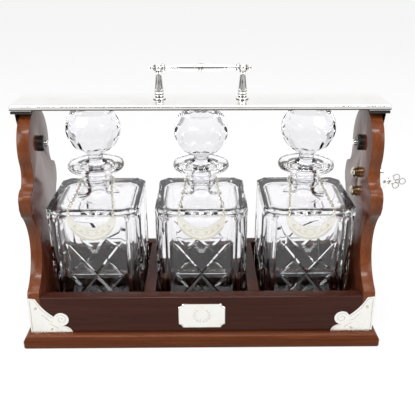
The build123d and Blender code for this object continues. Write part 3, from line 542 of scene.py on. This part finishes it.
def hoop(work, centre, across, up, radius, thickness, steps=40, sides=6):
    """A fine closed ring about a centre, in the plane of two directions."""
    centre, across, up = Vector(centre), Vector(across), Vector(up)
    axis = across.cross(up)
    corners = [2 * pi * k / sides for k in range(sides)]
    rings = []
    for i in range(steps):
        out = across * cos(2 * pi * i / steps) + up * sin(2 * pi * i / steps)
        points = [centre + out * (radius + thickness * cos(a)) + axis * thickness * sin(a) for a in corners]
        rings.append([work.verts.new(p * MM) for p in points])
    for a, b in zip(rings, rings[1:] + rings[:1]):
        for k in range(sides):
            n = (k + 1) % sides
            work.faces.new((a[k], b[k], b[n], a[n])).smooth = True


def bead(work, centre, radius, flat=0.6):
    """A small round bead, flattened towards the surface that it stands on, facing the front."""
    where = Matrix.Translation(Vector(centre) * MM) @ Matrix.Diagonal((1, flat, 1, 1))
    made = bmesh.ops.create_icosphere(work, subdivisions=2, radius=radius * MM, matrix=where)
    for vertex in made["verts"]:
        for face in vertex.link_faces:
            face.smooth = True


def weld(piece):
    """Joins doubled vertices so that the mesh is closed."""
    work = bmesh.new()
    work.from_mesh(piece.data)
    bmesh.ops.remove_doubles(work, verts=work.verts, dist=1e-6)
    work.to_mesh(piece.data)
    work.free()


def apply_modifiers(piece):
    """Turns the modified shape into the piece's own mesh."""
    bpy.context.view_layer.update()
    shaped = piece.evaluated_get(bpy.context.evaluated_depsgraph_get())
    mesh = bpy.data.meshes.new_from_object(shaped)
    piece.modifiers.clear()
    piece.data = mesh


def crisp_shade(piece, angle=28.0):
    """Smooth on gentle curves, crisp on cut edges."""
    for polygon in piece.data.polygons:
        polygon.use_smooth = True
    work = bmesh.new()
    work.from_mesh(piece.data)
    for edge in work.edges:
        edge.smooth = len(edge.link_faces) == 2 and edge.calc_face_angle(0.0) <= radians(angle)
    work.to_mesh(piece.data)
    work.free()


def stand_in(name, node):
    """A copy of a CAD piece's shape that takes its place."""
    piece = bpy.data.objects.new(name, node.data.copy())
    bpy.context.scene.collection.objects.link(piece)
    weld(piece)
    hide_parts(node.name)
    return piece


# ---- cut glass ---------------------------------------------------------------------------------
CUT_CENTRE = 75.5           # height of the crossing of the two long cuts
CUT_REACH = 30.0            # half the width of the cut pattern
CUT_RISE = 39.0             # half the height of the long cuts
LOZENGE = 28.6              # from the middle of the side to the tips of the short cuts
LOZENGE_TOP = (14.3, 91.1)
LOZENGE_FOOT = (13.0, 58.5)
HOBNAIL_TOP = 67.5
HOBNAIL_STEPS = (5.0, 10.0)
HOBNAIL_REACH = 11.5
UPRIGHTS = (42.3, 34.2)     # upright cuts near each corner, from the middle of the side
UPRIGHT_ENDS = (24.0, 146.0)
SPRIG_HEIGHT = 108.0        # middle of the small engraved sprig
TIP = 0.02                  # of a cut's full width, at its ends


def groove(mesh, start, end, outward, half_width, depth, taper_length=2.2):
    """Adds one pointed V-shaped cutter that lies along a line on the glass."""
    start, end, outward = Vector(start), Vector(end), Vector(outward)
    along = (end - start).normalized()
    across = along.cross(outward).normalized()
    taper = min(0.5, taper_length * half_width / (end - start).length)
    rings = []
    for t, full in ((0.0, TIP), (taper, 1.0), (1 - taper, 1.0), (1.0, TIP)):
        middle = start.lerp(end, t)
        points = (middle + across * half_width * full, middle - outward * depth * full,
                  middle - across * half_width * full, middle + outward * half_width * full * 0.8)
        rings.append([mesh.verts.new(p * MM) for p in points])
    for a, b in zip(rings, rings[1:]):
        for i in range(4):
            j = (i + 1) % 4
            mesh.faces.new((a[i], a[j], b[j], b[i]))
    mesh.faces.new(reversed(rings[0]))
    mesh.faces.new(rings[-1])


def face_cuts():
    """The cut pattern of one side of a decanter: (start, end, half width, depth), across and up."""
    low, high = CUT_CENTRE - CUT_RISE, CUT_CENTRE + CUT_RISE
    bottom, top = UPRIGHT_ENDS
    cuts = [((-CUT_REACH, CUT_CENTRE), (CUT_REACH, CUT_CENTRE), 1.4, 1.2)]
    for s in (-1, 1):
        tip = (s * LOZENGE, CUT_CENTRE)
        cuts.append(((-s * CUT_REACH, low), (s * CUT_REACH, high), 2.5, 2.0))
        cuts.append(((s * LOZENGE_TOP[0], LOZENGE_TOP[1]), tip, 1.7, 1.4))
        cuts.append((tip, (s * LOZENGE_FOOT[0], LOZENGE_FOOT[1]), 2.3, 1.9))
        for step in HOBNAIL_STEPS:
            end = (s * (step - HOBNAIL_REACH), HOBNAIL_TOP - HOBNAIL_REACH - step)
            cuts.append(((s * step, HOBNAIL_TOP - step), end, 0.9, 0.8))
        for x in UPRIGHTS:
            cuts.append(((s * x, bottom), (s * x, top), 3.6, 1.9))
    return cuts


def cut_decanter(name, x):
    """The decanter with its four sides cut: long crosses, lozenges and upright cuts."""
    cutter_mesh = bpy.data.meshes.new(name + "_cutter")
    cutters = bmesh.new()
    for turn in range(4):
        angle = turn * pi / 2
        outward = Vector((sin(angle), -cos(angle), 0))
        across = Vector((cos(angle), sin(angle), 0))
        face = Vector((x, 0, 0)) + outward * GLASS_HALF
        for start, end, half_width, depth in face_cuts():
            a, b = (face + across * u + Vector((0, 0, v)) for u, v in (start, end))
            groove(cutters, a, b, outward, half_width, depth)
    bmesh.ops.recalc_face_normals(cutters, faces=cutters.faces)
    cutters.to_mesh(cutter_mesh)
    cutters.free()
    cutter = bpy.data.objects.new(name + "_cutter", cutter_mesh)
    bpy.context.scene.collection.objects.link(cutter)
    piece = stand_in(name + "_cut_decanter", nodes[name + "_decanter"])
    carve = piece.modifiers.new("cuts", "BOOLEAN")
    carve.object = cutter
    carve.operation = "DIFFERENCE"
    carve.solver = "EXACT"
    carve.use_self = True
    apply_modifiers(piece)
    bpy.data.objects.remove(cutter)
    crisp_shade(piece)
    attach(piece, name + "_decanter")


def leafy(stem, sign, length):
    """Short leaves on both sides of a stem, as (across, up) lines."""
    leaves = []
    for i in range(2, len(stem) - 1, 3):
        (x, z), (ahead_x, ahead_z) = stem[i], stem[i + 1]
        along = Vector((ahead_x - x, ahead_z - z)).normalized()
        for side in (-1, 1):
            out = Vector((-along.y, along.x)) * side
            tip = Vector((x, z)) + (out * 0.75 + along * 0.85) * length
            middle = Vector((x, z)) + (out * 0.6 + along * 0.25) * length
            leaves.append(smooth_line([(x, z), tuple(middle), tuple(tip)], 3))
    return [[(sign * a, b) for a, b in leaf] for leaf in leaves]


def engraved_sprig(name, x, material):
    """A small pair of crossed leafy sprigs, engraved on the front of a decanter."""
    work = bmesh.new()
    stem = smooth_line([(-3.5, -5.2), (0.0, -3.0), (4.2, -0.4), (6.4, 4.6)])
    for sign in (-1, 1):
        lines = [[(sign * a, b) for a, b in stem]] + leafy(stem, sign, 2.3)
        for line in lines:
            wire(work, [(x + a, -GLASS_HALF, SPRIG_HEIGHT + b) for a, b in line], 0.24, 5)
    new_piece(name + "_sprig", work, material, name + "_decanter")


# ---- wood with softened edges ----------------------------------------------------------------------
SOFTENED = {"left_end_panel": 0.9, "right_end_panel": 0.9, "front_rail": 0.6, "back_rail": 0.6}
FLAT_WITHIN = 0.5           # degrees between faces that are joined to one before the edges are rubbed
SHARP_FROM = 40.0           # degrees at an edge that is rubbed


def soften_wood(name, width):
    """The same board with its sharp edges rubbed round, as polish and handling leave them."""
    piece = stand_in("softened_" + name, nodes[name])
    work = bmesh.new()
    work.from_mesh(piece.data)
    bmesh.ops.dissolve_limit(work, angle_limit=radians(FLAT_WITHIN), verts=work.verts, edges=work.edges,
                             delimit={"MATERIAL"})
    work.to_mesh(piece.data)
    work.free()
    bevel = piece.modifiers.new("soft_edges", "BEVEL")
    bevel.width = width * MM
    bevel.segments = 3
    bevel.limit_method = "ANGLE"
    bevel.angle_limit = radians(SHARP_FROM)
    bevel.use_clamp_overlap = True
    apply_modifiers(piece)
    crisp_shade(piece, 35.0)
    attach(piece, "case")


# ---- raised ornament on the plated mounts -----------------------------------------------------------
MOUNT_FRONT = CASE_FRONT - PLATE - LIFT
BORDER_NOTCH = 5.4          # radius of the plaque's border line round each notched corner
LABEL_RADIUS = (LABEL_HALF ** 2 + LABEL_DROP ** 2) / (2 * LABEL_DROP)
LABEL_CENTRE = (0.0, LABEL_TOP - LABEL_DROP + LABEL_RADIUS)
LABEL_OPENING = 64.0        # degrees from the label's lowest point to each end of its beading
LABEL_BEADS = 34
LABEL_SCROLLS = ((4.6, 128.6, 1.9), (11.2, 130.6, 1.8), (17.0, 136.4, 1.7))


def arc(centre, radius, start, end, steps):
    """Points on an arc, (across, up), between two angles in degrees."""
    return [(centre[0] + radius * cos(radians(start + (end - start) * i / steps)),
             centre[1] + radius * sin(radians(start + (end - start) * i / steps))) for i in range(steps + 1)]


def spiral(centre, radius, start, turns, steps=22):
    """Points of a small scroll that winds in to its centre."""
    points = []
    for i in range(steps + 1):
        t = i / steps
        angle = radians(start) + 2 * pi * turns * t
        points.append((centre[0] + radius * (1 - 0.85 * t) * cos(angle),
                       centre[1] + radius * (1 - 0.85 * t) * sin(angle)))
    return points


def smooth_line(points, steps=5):
    """A flowing curve through points (Catmull-Rom)."""
    ends = [points[0]] + list(points) + [points[-1]]
    flowing = []
    for a, b, c, d in zip(ends, ends[1:], ends[2:], ends[3:]):
        for i in range(steps):
            t = i / steps
            flowing.append(tuple(0.5 * (2 * q + (r - p) * t + (2 * p - 5 * q + 4 * r - s) * t ** 2
                                        + (3 * q - p - 3 * r + s) * t ** 3)
                                 for p, q, r, s in zip(a, b, c, d)))
    flowing.append(tuple(points[-1]))
    return flowing


def bracket_ornament(name, side, material):
    """Raised lines on a bracket's front wing: along its curved edge, round the lobe and at the foot."""
    work = bmesh.new()
    lines = [smooth_line([(1.6, 57.5), (6.6, 56.8), (13.0, 45.6), (19.5, 38.6), (25.2, 34.2)]),
             spiral((33.2, 33.0), 6.2, 150, -1.5),
             smooth_line([(33.5, 24.6), (38.6, 21.8), (41.4, 19.2), (42.8, 17.0)]),
             smooth_line([(1.6, 57.5), (1.6, 40.0), (1.6, 17.0), (12.0, 16.8), (27.0, 16.8), (42.8, 16.9)]),
             smooth_line([(24.5, 29.5), (20.0, 31.5), (17.0, 35.5), (12.5, 39.5)]),
             smooth_line([(30.0, 21.0), (24.0, 25.5), (20.5, 27.0)])]
    for line in lines:
        wire(work, [(side * (CASE_HALF - x), MOUNT_FRONT, z) for x, z in line], 0.22)
    new_piece(name, work, material, "case")


def plaque_ornament(material):
    """A raised border line inside the plaque's notched edge, with a small leafy wreath inside it."""
    work = bmesh.new()
    outline = []
    for start, sx, sz in ((180, 1, 1), (270, -1, 1), (0, -1, -1), (90, 1, -1)):
        corner = (sx * PLAQUE_HALF[0], sz * PLAQUE_HALF[1])
        outline += arc(corner, BORDER_NOTCH, start + 90, start, 6)
    outline.append(outline[0])
    lines = [(outline, 0.2)]
    for sx in (-1, 1):
        stem = smooth_line([(0.0, -7.6), (sx * 5.0, -6.4), (sx * 8.4, -1.5), (sx * 7.0, 4.5),
                            (sx * 3.2, 7.4)])
        lines.append((stem, 0.16))
        for x, z in stem[2:-2:3]:
            for out in (0.72, 1.32):
                middle = (x * (1 + out) / 2 + 0.2 * sx, z * (1 + out) / 2 + 0.7)
                lines.append((smooth_line([(x, z), middle, (x * out, z * out + 1.1)], 3), 0.15))
    for line, radius in lines:
        wire(work, [(x, MOUNT_FRONT, PLAQUE_MIDDLE + z) for x, z in line], radius)
    new_piece("plaque_ornament", work, material, "case")


def label_ornament(name, x, material):
    """Beads along a label's lower edge, a line along its hollow edge and a scroll on its face."""
    work = bmesh.new()
    front = LABEL_FRONT - LIFT
    for across, up in arc(LABEL_CENTRE, LABEL_RADIUS - 1.1, -90 - LABEL_OPENING, -90 + LABEL_OPENING,
                          LABEL_BEADS):
        bead(work, (x + across, front, up), 0.55)
    for inset, start in ((2.3, LABEL_OPENING - 2), (12.2, LABEL_OPENING * 0.55)):
        line = arc(LABEL_CENTRE, LABEL_RADIUS - inset, -90 - start, -90 + start, 28)
        wire(work, [(x + across, front, up) for across, up in line], 0.18)
    stem = smooth_line([(0.0, 123.5), (4.0, 125.8), (8.5, 126.0), (12.5, 129.5), (16.0, 131.5),
                        (19.5, 137.0)])
    scrolls = [stem] + [spiral((a, b), radius, -60, 1.3, 14) for a, b, radius in LABEL_SCROLLS]
    for sx in (-1, 1):
        for line in scrolls:
            wire(work, [(x + sx * across, front, up) for across, up in line], 0.17)
    new_piece(name, work, material, name.replace("_ornament", ""))


# Each painted shade ring: place along the grip from its middle, or height above the bar; radius; thickness.
GRIP_SHADE_RINGS = ((0.75, 4.25, 0.32), (2.3, 4.15, 0.32), (GRIP_CUP, 2.7, 0.45), (GRIP_CUP + 2.3, 3.9, 0.45),
              (FINIAL_START, 2.8, 0.42), (FINIAL_START + 1.6, 2.15, 0.42),
              (FINIAL_START + 4.4, 1.75, 0.42))
# the widest post ring, at the post's foot, is a painted contact shadow
POST_SHADE_RINGS = ((0.3, 6.2, 0.4), (2.6, 4.1, 0.4), (5.5, 4.4, 0.4), (8.6, 4.3, 0.4), (29.0, 2.7, 0.35))


def handle_shade_rings(material):
    """Painted shade in the hollows of the handle: round the grip, its cups, the finials and the posts."""
    work = bmesh.new()
    for side in (-1, 1):
        for x, radius, thickness in GRIP_SHADE_RINGS:
            hoop(work, (side * x, 0, GRIP_HEIGHT), (0, 1, 0), (0, 0, 1), radius, thickness)
        for rise, radius, thickness in POST_SHADE_RINGS:
            hoop(work, (side * POST_OFFSET, 0, BAR_TOP + rise), (1, 0, 0), (0, 1, 0), radius, thickness)
    new_piece("handle_shade_rings", work, material, "bar")


def flute_shade_lines(material):
    """Painted shade along the bottom of each flute of the handle's posts."""
    work = bmesh.new()
    for side in (-1, 1):
        for i in range(POST_FLUTES):
            turn = 2 * pi * i / POST_FLUTES
            line = []
            for rise in (-FLUTE_HALF_LENGTH, 0.0, FLUTE_HALF_LENGTH):
                radius = FLUTE_BOTTOM - FLUTE_SLOPE * rise
                line.append((side * POST_OFFSET + radius * cos(turn), radius * sin(turn),
                             BAR_TOP + FLUTE_MIDDLE + rise))
            wire(work, line, 0.34, facing=(-sin(turn), cos(turn), 0))
    new_piece("flute_shade_lines", work, material, "bar")


# painted shade: a dark line round the bar's lower edge
SHADE_LINE_INSET = 0.3
SHADE_LINE_CORNER = 2.7
SHADE_LINE_RISE = 0.25


def rounded_rectangle(half_x, half_y, radius, steps=6):
    """A closed path round a rectangle with rounded corners, (x, y)."""
    path = []
    for quarter, (sx, sy) in enumerate(((1, 1), (-1, 1), (-1, -1), (1, -1))):
        path += arc((sx * (half_x - radius), sy * (half_y - radius)), radius, quarter * 90,
                    quarter * 90 + 90, steps)
    return path + path[:1]


def bar_shade_line(material):
    """A dark line of painted shade round the bar's lower edge."""
    work = bmesh.new()
    path = rounded_rectangle(BAR_HALF_LENGTH - SHADE_LINE_INSET, BAR_HALF_DEPTH - SHADE_LINE_INSET, SHADE_LINE_CORNER)
    wire(work, [(x, y, BAR_BOTTOM + SHADE_LINE_RISE) for x, y in path], 0.35, facing=(0, 0, 1))
    new_piece("bar_shade_line", work, material, "bar")


def key_shade_rims(material):
    """Painted shade: dark rims round the openings of the key's bow on both faces, a ring between them, and
    its collars.
    """
    work = bmesh.new()
    for face in (-1, 1):
        y = face * KEY_BOW_HALF_THICKNESS
        for x, z, share in ((BOW_SIDE[0], BOW_SIDE[1], BOW_RIM), (BOW_SIDE[0], -BOW_SIDE[1], BOW_RIM),
                            (BOW_END, 0.0, BOW_RIM), (BOW_MIDDLE, 0.0, BOW_BOSS)):
            hoop(work, (x, y, LOCK_HEIGHT + z), (1, 0, 0), (0, 0, 1), share * BOW_LOBE, 0.3, 28)
    for x, radius in KEY_COLLARS:
        hoop(work, (x, 0, LOCK_HEIGHT), (0, 1, 0), (0, 0, 1), radius, 0.28, 28)
    new_piece("key_shade_rims", work, material, "key")


# ---- build the scene ----------------------------------------------------------------------------
add_camera()
add_floor()
add_world()
for lamp in LAMPS:
    add_lamp(*lamp)
finishes = make_materials()
finish_nodes(finishes)
for place, x in PLACES:
    cut_decanter(place, x)
    engraved_sprig(place, x, finishes["frosted"])
    label_ornament(place + "_label_ornament", x, finishes["line"])
for board, width in SOFTENED.items():
    soften_wood(board, width)
for end, side in SIDES:
    bracket_ornament(end + "_bracket_ornament", side, finishes["line"])
plaque_ornament(finishes["line"])
handle_shade_rings(finishes["shade"])
flute_shade_lines(finishes["shade"])
bar_shade_line(finishes["shade"])
key_shade_rims(finishes["shade"])
